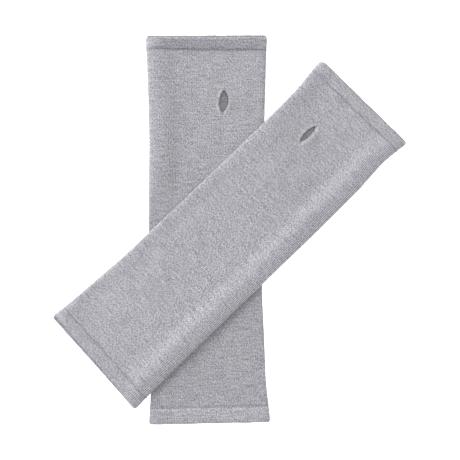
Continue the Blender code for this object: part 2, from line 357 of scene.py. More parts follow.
def skew_at(warmer, end, across):
    """How far along the warmer a linked seam lies from its even place, in mm."""
    skew = warmer.hand_skew if end == "hand" else warmer.arm_skew
    wander = waves(warmer.waves_seed + len(end), across * SEAM_WAVES, np.zeros_like(across))
    return np.interp(across, SKEW_SPOTS, skew) + SEAM_WANDER * wander


WAVE_HEIGHT = 0.40  # how far the cloth's unevenness lifts or lowers it
WAVE_MIDDLE = 0.6   # how much more of that is up than down
HOLD_DOWN = 8.0     # how far past the over warmer's side its weight still flattens the cloth
HELD_FLAT = 0.9     # share of the unevenness that the weight takes away


def unevenness(warmer, across, along):
    """What relaxed waves and creases add to the front's height."""
    rise = WAVE_HEIGHT * (waves(warmer.waves_seed, across, along) + WAVE_MIDDLE)
    for crease in warmer.creases:
        rise = rise + crease_height(crease, across, along)
    if warmer.name == "under":
        over_across, over_along = measured_from(over, *table_place(under, across, along))
        sides = outline(over, over_along.ravel()).T.reshape((4,) + over_along.shape)
        outside = np.maximum(over_across - sides[1], -over_across - sides[0])
        rise = rise * (1.0 - HELD_FLAT * ease(1.0 - outside / HOLD_DOWN))
    return rise


def calc(tree, operation, *values):
    """A math node's result, from numbers and other nodes' sockets."""
    node = tree.nodes.new("ShaderNodeMath")
    node.operation = operation
    for socket, value in zip(node.inputs, values):
        if isinstance(value, (int, float)):
            socket.default_value = value
        else:
            tree.links.new(value, socket)
    return node.outputs[0]


def total_of(tree, middle, *terms):
    """middle plus each (field, strength), where a field of 0.5 adds nothing."""
    result = middle
    for field, strength in terms:
        centred = calc(tree, "SUBTRACT", field, 0.5)
        result = calc(tree, "MULTIPLY_ADD", centred, strength, result)
    return result


def looked_up(tree, texture, x, y, z=0.0):
    """Have a texture read at (x, y, z)."""
    spot = tree.nodes.new("ShaderNodeCombineXYZ")
    tree.links.new(x, spot.inputs["X"])
    tree.links.new(y, spot.inputs["Y"])
    spot.inputs["Z"].default_value = z
    tree.links.new(spot.outputs[0], texture.inputs["Vector"])


def grain(tree, across, along, wide, tall, seed, detail):
    """Smooth noise between 0 and 1, in grains so many columns wide and so many rows tall."""
    noise = tree.nodes.new("ShaderNodeTexNoise")
    noise.inputs["Scale"].default_value = 1.0
    noise.inputs["Detail"].default_value = detail
    looked_up(tree, noise, calc(tree, "DIVIDE", across, wide), calc(tree, "DIVIDE", along, tall), seed)
    return noise.outputs["Fac"]


# The wool's dyed fibres, and the shade from 0 to 1 at which each shows alone.
Dye = namedtuple("Dye", "shade red green blue")
DYES = [
    #   shade red    green  blue
    Dye(0.08, 0.150, 0.144, 0.198),
    Dye(0.50, 0.379, 0.375, 0.412),
    Dye(0.94, 0.637, 0.635, 0.656),
]


def heather_ramp(tree, shade, tone, blue=1.0):
    """The mixed wool's colour, from dark slate fibres through light grey to off-white ones."""
    ramp = tree.nodes.new("ShaderNodeValToRGB")
    stops = ramp.color_ramp.elements
    stops[0].position, stops[1].position = DYES[0].shade, DYES[2].shade
    stops.new(DYES[1].shade)
    for stop, dye in zip(stops, DYES):
        stop.color = (dye.red * tone, dye.green * tone, dye.blue * tone * blue, 1.0)
    tree.links.new(shade, ramp.inputs["Fac"])
    return ramp.outputs["Color"]


def bumped(tree, shader, height, strength, depth):
    """Raise a shader's surface, by depth in metres where height is 1."""
    bump = tree.nodes.new("ShaderNodeBump")
    bump.inputs["Strength"].default_value = strength
    bump.inputs["Distance"].default_value = depth
    tree.links.new(height, bump.inputs["Height"])
    tree.links.new(bump.outputs["Normal"], shader.inputs["Normal"])


def wool_shader(name):
    """A material with the matt, faintly downy surface of wool."""
    material = bpy.data.materials.new(name)
    material.use_nodes = True
    shader = material.node_tree.nodes["Principled BSDF"]
    shader.inputs["Roughness"].default_value = 0.93
    shader.inputs["Specular IOR Level"].default_value = 0.22
    shader.inputs["Sheen Weight"].default_value = 0.35
    shader.inputs["Sheen Roughness"].default_value = 0.35
    return material, material.node_tree, shader


FLECKS_TO_WALE, FLECKS_TO_COURSE = 1.6, 1.1  # lighter and darker flecks to a column, and to a row
CRISPNESS = 0.6  # how far each fleck stands out from the ones beside and above it


def fleck_shade(tree, columns, rows, step_across, step_along):
    """A shade of its own, between 0 and 1, for each fleck, as fibres of two dyes come to the surface."""
    shade = tree.nodes.new("ShaderNodeTexWhiteNoise")
    shade.noise_dimensions = "2D"
    cell = [calc(tree, "ADD", columns, step_across), calc(tree, "ADD", rows, step_along)]
    looked_up(tree, shade, *(calc(tree, "FLOOR", edge) for edge in cell))
    return shade.outputs["Value"]


def flecks(tree, wale, course):
    """The knit's flecks, each sharpened against its neighbours."""
    columns = calc(tree, "MULTIPLY", wale, FLECKS_TO_WALE)
    rows = calc(tree, "MULTIPLY", course, FLECKS_TO_COURSE)
    beside = fleck_shade(tree, columns, rows, 1.0, 0.0)
    above = fleck_shade(tree, columns, rows, 0.0, 1.0)
    around = calc(tree, "MULTIPLY", calc(tree, "ADD", beside, above), -CRISPNESS / 2.0)
    own = fleck_shade(tree, columns, rows, 0.0, 0.0)
    return calc(tree, "ADD", own, calc(tree, "ADD", around, CRISPNESS / 2.0))


V_SLANT = 1.3       # how steeply the legs of a stitch's V rise, in rows to a column
COLUMN_TOP, COLUMN_GROOVE = 1.3, 1.6  # height of a column's middle, and how steeply it falls to the groove
LEG_FULLNESS = 0.4  # power that fills out a leg's rounding; nearer 0 is fuller
PURL_BEND = 0.2     # how far the purl side's ridges wave up and down, in rows
PURL_LEG = 0.25     # how far a purl ridge rises and falls along itself
CROWN = 0.45        # share of the relief that rises and falls with each row
FLECK_SHADE, RELIEF_PAINTED_SHADE = 0.50, 0.42  # how strongly the flecks colour the wool, and how much painted shade the relief lays in the grooves between stitches
BUMP_STRENGTH, BUMP_DEPTH = 0.8, 0.0004  # of the stitches, the depth in metres
FIBRE_BUMP = 0.5    # the finest grains' share of the bump
SIDE_COLUMN, SIDE_REACH = 38.0, 10.0  # the middle column of a full side, and the furrows' reach from it
FURROW_PAINTED_SHADE = 0.95   # how dark the painted shade in the furrows between those columns is

# Grains that vary the wool's colour: how many columns wide and rows tall, and how strongly they show.
Grain = namedtuple("Grain", "wide tall seed detail strength")
GRAINS = [
    #     wide  tall  seed  detail strength
    Grain(0.45, 0.6,  2.0,  1.0,   0.20),
    Grain(3.2,  0.75, 17.0, 0.0,   0.10),
    Grain(8.0,  1.1,  23.0, 0.0,   0.40),
    Grain(2.0,  70.0, 31.0, 1.0,   0.08),
    Grain(16.0, 22.0, 47.0, 2.0,   0.07),
]


def stitch_relief(tree, wale, course, purl_side):
    """The stitches' height between 0 and about 1, and the row that each spot of a slanting leg belongs to."""
    leg = calc(tree, "FRACT", calc(tree, "MULTIPLY", wale, 2.0))
    leg = calc(tree, "SINE", calc(tree, "MULTIPLY", leg, math.pi))
    if purl_side:
        bend = calc(tree, "SINE", calc(tree, "MULTIPLY", wale, 2.0 * math.pi))
        row = calc(tree, "MULTIPLY_ADD", bend, PURL_BEND, course)
        body = calc(tree, "MULTIPLY_ADD", leg, PURL_LEG, 1.0 - PURL_LEG)
    else:
        off_middle = calc(tree, "ABSOLUTE", calc(tree, "SUBTRACT", calc(tree, "FRACT", wale), 0.5))
        row = calc(tree, "MULTIPLY_ADD", off_middle, V_SLANT, course)
        between = calc(tree, "SUBTRACT", COLUMN_TOP, calc(tree, "MULTIPLY", off_middle, COLUMN_GROOVE))
        body = calc(tree, "MULTIPLY", calc(tree, "POWER", leg, LEG_FULLNESS), between)
    crown = calc(tree, "SINE", calc(tree, "MULTIPLY", calc(tree, "FRACT", row), math.pi))
    return calc(tree, "MULTIPLY", body, calc(tree, "MULTIPLY_ADD", crown, CROWN, 1.0 - CROWN)), row


def painted_furrow_shade(tree, wale, shade):
    """shade, with painted shade darkening the furrows between the columns where the cloth is stretched round
    a swollen side.
    """
    off_side = calc(tree, "ABSOLUTE", calc(tree, "SUBTRACT", wale, SIDE_COLUMN))
    fading = calc(tree, "SUBTRACT", 1.0, calc(tree, "DIVIDE", off_side, SIDE_REACH))
    near_side = calc(tree, "MAXIMUM", fading, 0.0)
    furrow = calc(tree, "SINE", calc(tree, "MULTIPLY", wale, 2.0 * math.pi))
    return calc(tree, "MULTIPLY_ADD", calc(tree, "MULTIPLY", furrow, near_side), FURROW_PAINTED_SHADE / 2.0, shade)


def jersey(name, purl_side, tone, shaded_furrows=False):
    """Fine heathered wool jersey: columns of soft V stitches, or the waved ridges of its purl side."""
    material, tree, shader = wool_shader(name)
    stitches = tree.nodes.new("ShaderNodeUVMap")
    stitches.uv_map = "Knit"
    split = tree.nodes.new("ShaderNodeSeparateXYZ")
    tree.links.new(stitches.outputs[0], split.inputs[0])
    wale, course = split.outputs["X"], split.outputs["Y"]

    relief, row = stitch_relief(tree, wale, course, purl_side)
    fine, *coarse = [(grain(tree, wale, course, *sizes), strength) for *sizes, strength in GRAINS]
    fleck = flecks(tree, wale, row)
    # The relief's term darkens the grooves between stitches in the colour: painted shade.
    shade = total_of(tree, 0.5, fine, (fleck, FLECK_SHADE), *coarse, (relief, RELIEF_PAINTED_SHADE))
    if shaded_furrows:
        shade = painted_furrow_shade(tree, wale, shade)
    tree.links.new(heather_ramp(tree, shade, tone), shader.inputs["Base Color"])
    height = calc(tree, "MULTIPLY_ADD", fine[0], FIBRE_BUMP, relief)
    bumped(tree, shader, height, BUMP_STRENGTH, BUMP_DEPTH)
    return material


# Where the bake map, 1 wide, holds a wall's outer and inner faces, its two ends and a slit's lips.
FACE_STRIPS = ((0, 0.0, 0.72), (1, 0.74, 0.235))
END_STRIPS, LIP_STRIPS, STRIP_BREADTH = (0.980, 0.984), (0.990, 0.995), 0.003
LIP_STITCH = 0.8   # breadth of the knit that a slit's lip shows, in columns
SHARP_EDGE = 60.0  # degrees; an edge that turns further is drawn sharp


def knitted_wall(name, outer, inner, courses, materials, cut=None):
    """A closed wall between grids of outer and inner points, with stitch and bake UVs.

    cut is a slit's column and first and last row, with the outer and inner points of its right-hand lip.
    """
    rows = len(outer)
    half = rows * WALES
    verts = np.concatenate([outer.reshape(-1, 3), inner.reshape(-1, 3)])
    column, first, last = -1, 0, 0
    if cut is not None:
        column, first, last, lip_outer, lip_inner = cut
        verts = np.concatenate([verts, lip_outer, lip_inner])
    between = last - first - 1

    def corner(row, col, side, from_right=False):
        if from_right and col == column and first < row < last:
            return 2 * half + side * between + row - first - 1
        return side * half + row * WALES + col % WALES

    faces, knit, bake, inside = [], [], [], []

    def add(corners, stitch, mapped, turned, material):
        step = -1 if turned else 1
        faces.append(corners[::step])
        knit.extend(stitch[::step])
        bake.extend(mapped[::step])
        inside.append(material)

    def narrow(start, b0, b1):
        end = start + STRIP_BREADTH
        return [(start, b0), (start, b1), (end, b1), (end, b0)]

    for row in range(rows - 1):
        v0, v1 = courses[row], courses[row + 1]
        b0, b1 = row / (rows - 1), (row + 1) / (rows - 1)
        for col in range(WALES):
            spots = [(row, col), (row, col + 1), (row + 1, col + 1), (row + 1, col)]
            stitch = [(col, v0), (col + 1, v0), (col + 1, v1), (col, v1)]
            for side, start, breadth in FACE_STRIPS:
                ids = [corner(r, c, side, col == column - 1) for r, c in spots]
                b_left, b_right = (start + breadth * c / WALES for c in (col, col + 1))
                mapped = [(b_left, b0), (b_right, b0), (b_right, b1), (b_left, b1)]
                add(ids, stitch, mapped, side == 1, side)
    for row, strip, turned in ((0, END_STRIPS[0], True), (rows - 1, END_STRIPS[1], False)):
        v = courses[row]
        for col in range(WALES):
            ids = [corner(row, col, 0), corner(row, col + 1, 0), corner(row, col + 1, 1), corner(row, col, 1)]
            stitch = [(col, v), (col + 1, v), (col + 1, v + 1.0), (col, v + 1.0)]
            add(ids, stitch, narrow(strip, col / WALES, (col + 1) / WALES), turned, 0)
    for row in range(first, last):
        for from_right, strip in zip((False, True), LIP_STRIPS):
            ends = [(row, 0), (row + 1, 0), (row + 1, 1), (row, 1)]
            ids = [corner(r, column, side, from_right) for r, side in ends]
            v0, v1 = courses[row], courses[row + 1]
            inside_lip = column + LIP_STITCH
            stitch = [(column, v0), (column, v1), (inside_lip, v1), (inside_lip, v0)]
            b0, b1 = (row - first) / (last - first), (row + 1 - first) / (last - first)
            add(ids, stitch, narrow(strip, b0, b1), from_right, 2)

    mesh = bpy.data.meshes.new(name)
    mesh.from_pydata(verts.tolist(), [], faces)
    for label, values in (("OFBake", bake), ("Knit", knit)):
        mesh.uv_layers.new(name=label).data.foreach_set("uv", np.array(values, dtype=np.float32).ravel())
    for material in materials:
        mesh.materials.append(material)
    mesh.polygons.foreach_set("material_index", np.array(inside, dtype=np.int32))
    mesh.shade_smooth()
    mesh.set_sharp_from_angle(angle=math.radians(SHARP_EDGE))
    mesh.update()
    return put_in(name, mesh)


ROW_STEP = 1.4        # spacing of the mesh's rows
FINE_STEP = 0.8       # the same about the slit
SEAM_STEP = 0.6       # the same next to the linked seams
SEAM_ROWS = 3.0       # how far from a linked seam those go
FRONT_FROM, FRONT_RUN = 0.6, 1.2  # the height where the front begins, and over which it grows full, in walls
SLIT_REACH = 14.0     # from the slit's middle to the last of the finer rows
SEAM_SWELL = 0.35     # how far the cloth rises to meet the thicker band
SEAM_SWELL_RUN = 5.0  # length of that rise
SEAM_DIP = 0.45       # how far the cloth then dips into the linked seam
SEAM_DIP_RUN = 2.6    # length of that dip
PART_REACH = 9.0      # how far round a slit the cloth is pushed aside
SLIDE_REACH = 25.0    # how far round a slit the columns lean to line up with it
LIP_RISE = 1.9        # how far the slit's right lip rolls up
LIP_CREST, LIP_FALL = 3.0, 6.0  # from the lip's edge to the roll's crest, and how slowly it falls
LEFT_LIP_RISE = {"under": 0.0, "over": 0.4}  # the same for the left lip, which is highest at its edge
LEFT_LIP_FALL = 3.0       # how slowly that falls
BACK_SWELL = {"under": 0.4, "over": 0.2}  # how far the back swells up into the slit
BACK_SWELL_BREADTH = 3.5  # breadth of that swell
BACK_SWELL_SHIFT = 2.0    # how far left of the slit's middle it is highest
UNDERCUT = {"under": (0.0, 0.8), "over": (0.5, 0.0)}  # how far each lip's face is set back

# The over warmer's wool is made lighter than the under's: painted light, for the over one showing brighter
# under the lamp.
wool = {
    "under": jersey("heathered_wool_jersey_under", purl_side=False, tone=1.065),
    "over": jersey("heathered_wool_jersey_over", purl_side=False, tone=1.135, shaded_furrows=True),
}
# The purl side's tones are far darker than the face's: partly the purl's own look, and mostly painted shade
# for the dim inside of a tube seen through the slits.
shaded_purl_wool = {
    "under": jersey("heathered_wool_purl_side_under", purl_side=True, tone=0.57),
    "over": jersey("heathered_wool_purl_side_over", purl_side=True, tone=0.75),
}
# A very dark wool for the faces of the slits' lips, set back so that they show from above: painted shade for
# the dark crevice along the lips.
painted_shade_edge = jersey("heathered_wool_shaded_edge", purl_side=True, tone=0.36)
tubes, slit_lips, seam_edges = {}, {}, {}
for warmer in (under, over):
    slit = warmer.slit
    first_row, last_row = tube_ends(warmer)
    stops = [first_row, first_row + SEAM_ROWS, slit.along - SLIT_REACH]
    stops += [slit.along + SLIT_REACH, last_row - SEAM_ROWS, last_row]
    steps = [SEAM_STEP, ROW_STEP, FINE_STEP, ROW_STEP, SEAM_STEP]
    stations = [
        np.linspace(start, end, round((end - start) / step) + 1)[:-1]
        for start, end, step in zip(stops, stops[1:], steps)
    ]
    stations = np.concatenate(stations + [[last_row]])
    insets = [np.zeros(len(stations)), np.full(len(stations), CLOTH)]
    flat_grids = even_rings(warmer, stations, CLOTH, insets)
    along = np.repeat(stations[:, None], WALES, axis=1)
    on_front = ease((flat_grids[0][:, :, 1] - FRONT_FROM * CLOTH) / (FRONT_RUN * CLOTH))

    middle_row = int(np.argmin(np.abs(stations - slit.along)))
    first, last = (int(np.argmin(np.abs(stations - slit.along - end * slit.length / 2.0))) for end in (-1, 1))
    across_there, height_there = flat_grids[0][middle_row].T
    off_slit = np.where(height_there > CLOTH + HOLLOW, np.abs(across_there - slit.across), np.inf)
    column = int(np.argmin(off_slit))
    centre = slit.across - slit.lean * (stations - slit.along)
    along_slit = (2.0 * stations - stations[first] - stations[last]) / (stations[last] - stations[first])
    gape = slit.width / 2.0 * np.clip(1.0 - along_slit**2, 0.0, 1.0)
    openness = (gape / (slit.width / 2.0))[:, None]

    from_end = np.minimum(stations - first_row, last_row - stations)
    seam_rise = SEAM_SWELL * (1.0 - ease(from_end / SEAM_SWELL_RUN))
    seam_rise -= SEAM_DIP * (1.0 - ease(from_end / SEAM_DIP_RUN))

    sheets, lips = [], []
    for grid in flat_grids:
        across, height = grid[:, :, 0].copy(), grid[:, :, 1].copy()
        lean_in = (centre - across[:, column]) * np.exp(-(((stations - slit.along) / SLIDE_REACH) ** 2))
        across += lean_in[:, None] * on_front * np.exp(-np.abs(across - slit.across) / SLIDE_REACH)
        cut_line = across[:, column].copy()
        set_back = np.array(UNDERCUT[warmer.name]) if grid is flat_grids[0] else np.zeros(2)
        off = across - cut_line[:, None]
        side = np.where(off > 0.0, 1.0, -1.0)
        parted = gape[:, None] + openness * np.where(off > 0.0, set_back[1], set_back[0])
        across += side * parted * np.exp(-np.abs(off) / PART_REACH) * on_front
        height += (unevenness(warmer, across, along) + seam_rise[:, None]) * on_front
        edge = np.abs(across - cut_line[:, None]) - gape[:, None]
        right_roll = LIP_RISE * ease(edge / LIP_CREST) * np.exp(-np.maximum(edge - LIP_CREST, 0.0) / LIP_FALL)
        left_roll = LEFT_LIP_RISE[warmer.name] * np.exp(-np.maximum(edge, 0.0) / LEFT_LIP_FALL)
        height += np.where(off > 0.0, right_roll, left_roll) * openness * on_front
        if grid is flat_grids[1]:
            off_swell = across - slit.across + BACK_SWELL_SHIFT
            swell = np.exp(-((off_swell / BACK_SWELL_BREADTH) ** 2)) * openness
            height += BACK_SWELL[warmer.name] * swell * (1.0 - on_front)
        pulled = along + skew_at(warmer, "hand", across) * np.exp(-(along - first_row) / SEAM_PULL)
        pulled += skew_at(warmer, "arm", across) * np.exp(-(last_row - along) / SEAM_PULL)
        sheets.append(lay(warmer, across, pulled, height))
        inner_rows = slice(first + 1, last)
        right_lip = cut_line[inner_rows] + gape[inner_rows] + set_back[1] * openness[inner_rows, 0]
        lips.append(lay(warmer, right_lip, stations[inner_rows], height[inner_rows, column]))
    cut = (column, first, last, lips[0], lips[1])
    # The third material, on the slits' lip faces, is painted shade.
    materials = [wool[warmer.name], shaded_purl_wool[warmer.name], painted_shade_edge]
    tube = knitted_wall(warmer.name + "_tube_cloth", *sheets, stations / COURSE, materials, cut)
    tubes[warmer.name] = tube
    left_lip = sheets[0][first : last + 1, column]
    slit_lips[warmer.name] = left_lip, np.concatenate([left_lip[:1], lips[0], left_lip[-1:]])
    seam_edges[warmer.name] = {"hand": sheets[0][0], "arm": sheets[0][-1]}
    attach(tube, "root")
    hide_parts(warmer.name + "_tube")

# --- The doubled bands ------------------------------------
# At both openings the jersey is turned in, by 12 mm at the hand and about 14 mm at the arm, and linked down,
# which gives a band two cloths thick. Its edge is a soft rounded fold. The back's edge shows a little past
# the front's, and the opening gapes.

BAND_CLOTH = 1.6    # wall of the doubled cloth
CORNER = 0.8        # how far a band's corners are drawn in
EDGE_WAVE = 0.15    # how far the edge wanders from a straight line
EDGE_WAVES_ACROSS, EDGE_WAVES_UP = 1.8, 9.0  # how much shorter those waves are than the cloth's
HALF_WIDTH = 53.0   # from the centre line to a side at an opening
MOUTH_SPOTS = (-0.8, 0.0, 0.8)  # where lip and gape are measured, in half widths across
GAPE_FULL = 1.3     # keeps the gape full until near the corners; 1 would narrow it sooner
SMOOTH_RUN = 6.0    # from the edge to where the cloth's unevenness is full
BAND_DIP = 1.1      # how far the band dips into the linked seam
BAND_DIP_RUN = 2.2  # length of that dip

BandRow = namedtuple("BandRow", "depth wall corner")
band_rows = [
    #       depth  wall  corner
    BandRow(0.0,   0.20, 1.0),
    BandRow(0.015, 0.52, 0.85),
    BandRow(0.04,  0.78, 0.60),
    BandRow(0.08,  0.93, 0.35),
    BandRow(0.15,  1.00, 0.08),
    *(BandRow(depth, 1.00, 0.0) for depth in (0.25, 0.38, 0.52, 0.66, 0.78, 0.87)),
    BandRow(0.93,  0.97, 0.0),
    BandRow(0.97,  0.90, 0.0),
    BandRow(1.0,   0.75, 0.0),
]

# How far the back shows past the front at the left, the middle and the right of each opening, how far the
# front stands open there, in mm, and the band's tone, made lighter or darker than its tube's as painted light
# and shade for how the light falls on the band.
Mouth = namedtuple("Mouth", "warmer end depth lip gape tone seed")
mouths = [
    #     warmer end     depth      lip              gape             tone  seed
    Mouth(under, "hand", HAND_BAND, (2.2, 3.0, 2.8), (4.2, 4.0, 3.0), 1.01, 21),
    Mouth(under, "arm",  ARM_BAND,  (0.6, 0.9, 1.0), (0.5, 1.4, 2.5), 1.12, 22),
    Mouth(over,  "hand", HAND_BAND, (1.6, 2.0, 1.8), (0.6, 0.8, 0.6), 1.14, 23),
    Mouth(over,  "arm",  ARM_BAND,  (3.4, 3.4, 1.4), (3.0, 3.0, 0.8), 1.12, 24),
]

bands = {}
for mouth in mouths:
    warmer, length = mouth.warmer, mouth.warmer.rows[-1].along
    depth = np.array([row.depth for row in band_rows])
    inward = depth * (mouth.depth - SEAM_GAP / 2.0)
    spare = BAND_CLOTH * (1.0 - np.array([row.wall for row in band_rows])) / 2.0
    tuck = CORNER * np.array([row.corner for row in band_rows])
    stations = inward if mouth.end == "hand" else length - inward
    grids = even_rings(warmer, stations, BAND_CLOTH, [spare, BAND_CLOTH - spare], tuck)
    outer_across, outer_height = grids[0][:, :, 0], grids[0][:, :, 1]
    thickness = 2.0 * BAND_CLOTH + HOLLOW
    on_front = ease(outer_height / thickness)
    side_to_side = outer_across / HALF_WIDTH
    lip, gape = (np.interp(side_to_side, MOUTH_SPOTS, row) for row in (mouth.lip, mouth.gape))
    open_share = 1.0 - depth[:, None]
    wander = waves(mouth.seed, outer_across * EDGE_WAVES_ACROSS, outer_height * EDGE_WAVES_UP)
    shift = (lip * on_front + EDGE_WAVE * wander) * open_share
    lift = gape * open_share * ease(GAPE_FULL * (1.0 - side_to_side**4))
    dip = BAND_DIP * (1.0 - ease((mouth.depth - inward[:, None]) / BAND_DIP_RUN))
    along = stations[:, None] + (shift if mouth.end == "hand" else -shift)
    sheets = []
    for grid in grids:
        across, height = grid[:, :, 0], grid[:, :, 1]
        uneven = unevenness(warmer, across, along) * ease(inward[:, None] / SMOOTH_RUN)
        pulled = along + skew_at(warmer, mouth.end, across) * depth[:, None]
        sheets.append(lay(warmer, across, pulled, height + (uneven + lift - dip) * on_front))
    if mouth.end == "arm":
        sheets, stations = [sheet[::-1] for sheet in sheets], stations[::-1]
    name = f"{warmer.name}_{mouth.end}_band"
    band_wool = jersey("heathered_wool_" + name, False, mouth.tone, shaded_furrows=mouth.warmer.name == "over")
    band = knitted_wall(name + "_cloth", *sheets, stations / COURSE, [band_wool, band_wool])
    bands[warmer.name, mouth.end] = band
    band_edge = sheets[0][-1] if mouth.end == "hand" else sheets[0][0]
    seam_edges[warmer.name][mouth.end] = (band_edge, seam_edges[warmer.name][mouth.end])
    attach(band, "root")
    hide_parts(name)

# --- The linked seams -------------------------------------
# Each band is linked to its tube stitch by stitch: one short loop of the same yarn for every column of
# the knit, drawn down tight, so that a line of small dark pits shows between the loops.

YARN_GRAIN = 900.0   # fibres to a metre along and across the yarn
YARN_CONTRAST = 1.3  # how much lighter or darker they are than the yarn
YARN_BUMP, YARN_BUMP_DEPTH = 0.4, 0.0002  # their bump, the depth in metres


def yarn(name, tone, blue=1.0):
    """The warmers' own two-ply yarn, seen close to."""
    material, tree, shader = wool_shader(name)
    place = tree.nodes.new("ShaderNodeTexCoord")
    noise = tree.nodes.new("ShaderNodeTexNoise")
    noise.inputs["Scale"].default_value = YARN_GRAIN
    noise.inputs["Detail"].default_value = 2.0
    tree.links.new(place.outputs["Object"], noise.inputs["Vector"])
    shade = total_of(tree, 0.5, (noise.outputs["Fac"], YARN_CONTRAST))
    tree.links.new(heather_ramp(tree, shade, tone, blue), shader.inputs["Base Color"])
    bumped(tree, shader, noise.outputs["Fac"], YARN_BUMP, YARN_BUMP_DEPTH)
    return material


LOOP_POINTS, PLY_POINTS = 5, 6  # points along a loop, and round its yarn
SMALLEST, LARGEST = 0.86, 1.14  # sizes of the loops
SWING_SEED, SIZE_SEED = 5, 9


def loop_tree():
    """Geometry Nodes that put one loop of yarn on each point, across the line that it closes."""
    tree = bpy.data.node_groups.new("yarn_loops", "GeometryNodeTree")
    tree.is_modifier = True
    sockets = tree.interface
    sockets.new_socket("Geometry", in_out="INPUT", socket_type="NodeSocketGeometry")
    for label in ("Reach", "Rise", "Sink", "Yarn radius", "Uneven"):
        sockets.new_socket(label, in_out="INPUT", socket_type="NodeSocketFloat")
    sockets.new_socket("Yarn", in_out="INPUT", socket_type="NodeSocketMaterial")
    sockets.new_socket("Geometry", in_out="OUTPUT", socket_type="NodeSocketGeometry")
    given = tree.nodes.new("NodeGroupInput").outputs
    result = tree.nodes.new("NodeGroupOutput")

    def node(kind, **settings):
        made = tree.nodes.new(kind)
        for key, value in settings.items():
            setattr(made, key, value)
        return made

    def feed(source, made, socket):
        tree.links.new(source, made.inputs[socket])

    def times(source, factor):
        made = node("ShaderNodeMath", operation="MULTIPLY")
        feed(source, made, 0)
        made.inputs[1].default_value = factor
        return made.outputs[0]

    def point(x, z):
        made = node("ShaderNodeCombineXYZ")
        if x is not None:
            feed(x, made, "X")
        feed(z, made, "Z")
        return made.outputs[0]

    bow = node("GeometryNodeCurveQuadraticBezier")
    bow.inputs["Resolution"].default_value = LOOP_POINTS
    feed(point(times(given["Reach"], -0.5), times(given["Sink"], -1.0)), bow, "Start")
    feed(point(None, times(given["Rise"], 2.0)), bow, "Middle")
    feed(point(times(given["Reach"], 0.5), times(given["Sink"], -1.0)), bow, "End")
    ply = node("GeometryNodeCurvePrimitiveCircle", mode="RADIUS")
    ply.inputs["Resolution"].default_value = PLY_POINTS
    feed(given["Yarn radius"], ply, "Radius")
    loop = node("GeometryNodeCurveToMesh")
    feed(bow.outputs["Curve"], loop, "Curve")
    feed(ply.outputs["Curve"], loop, "Profile Curve")
    loop.inputs["Fill Caps"].default_value = True

    facing = node("FunctionNodeAxesToRotation", primary_axis="Z", secondary_axis="X")
    for label, axis in (("out", "Primary Axis"), ("run", "Secondary Axis")):
        stored = node("GeometryNodeInputNamedAttribute", data_type="FLOAT_VECTOR")
        stored.inputs["Name"].default_value = label
        feed(stored.outputs["Attribute"], facing, axis)
    swing = node("FunctionNodeRandomValue", data_type="FLOAT")
    swing.inputs["Seed"].default_value = SWING_SEED
    feed(times(given["Uneven"], -1.0), swing, 2)
    feed(given["Uneven"], swing, 3)
    lean = node("FunctionNodeAxisAngleToRotation")
    lean.inputs["Axis"].default_value = (0.0, 0.0, 1.0)
    feed(swing.outputs[1], lean, "Angle")
    turned = node("FunctionNodeRotateRotation", rotation_space="LOCAL")
    feed(facing.outputs[0], turned, "Rotation")
    feed(lean.outputs[0], turned, "Rotate By")
    size = node("FunctionNodeRandomValue", data_type="FLOAT")
    size.inputs[2].default_value, size.inputs[3].default_value = SMALLEST, LARGEST
    size.inputs["Seed"].default_value = SIZE_SEED

    spread = node("GeometryNodeInstanceOnPoints")
    feed(given["Geometry"], spread, "Points")
    feed(loop.outputs["Mesh"], spread, "Instance")
    feed(turned.outputs[0], spread, "Rotation")
    feed(size.outputs[1], spread, "Scale")
    solid = node("GeometryNodeRealizeInstances")
    feed(spread.outputs[0], solid, "Geometry")
    dyed = node("GeometryNodeSetMaterial")
    feed(solid.outputs[0], dyed, "Geometry")
    feed(given["Yarn"], dyed, "Material")
    tree.links.new(dyed.outputs[0], result.inputs[0])
    return tree


def loop_sizes(reach, rise, sink, yarn_radius, uneven):
    """What loop_tree is given, from sizes in mm and how far a loop swings either way in radians."""
    sizes = {"Reach": reach, "Rise": rise, "Sink": sink, "Yarn radius": yarn_radius}
    return {label: size * MM for label, size in sizes.items()} | {"Uneven": uneven}


def unit(vectors):
    """Vectors of the same directions, each of length 1."""
    return vectors / np.linalg.norm(vectors, axis=-1, keepdims=True)


def sewn(name, tree, points, out, run, material, sizes):
    """A piece with one loop on each point. out points off the cloth, and run lies across the line."""
    mesh = bpy.data.meshes.new(name + "_places")
    mesh.from_pydata(np.asarray(points).tolist(), [], [])
    for label, values in (("out", out), ("run", run)):
        layer = mesh.attributes.new(label, "FLOAT_VECTOR", "POINT")
        layer.data.foreach_set("vector", np.asarray(values, dtype=np.float32).ravel())
    holder = put_in(name + "_places", mesh)
    loops = holder.modifiers.new("loops", "NODES")
    loops.node_group = tree
    named = {item.name: item.identifier for item in tree.interface.items_tree if item.in_out == "INPUT"}
    for label, value in sizes.items():
        loops[named[label]] = value
    loops[named["Yarn"]] = material
    seen = holder.evaluated_get(bpy.context.evaluated_depsgraph_get())
    result = bpy.data.meshes.new_from_object(seen)
    bpy.data.objects.remove(holder, do_unlink=True)
    result.name = name
    result.shade_smooth()
    return put_in(name, result)


SEAM_CLEARANCE = 1.4  # least height of a loop's middle above the table

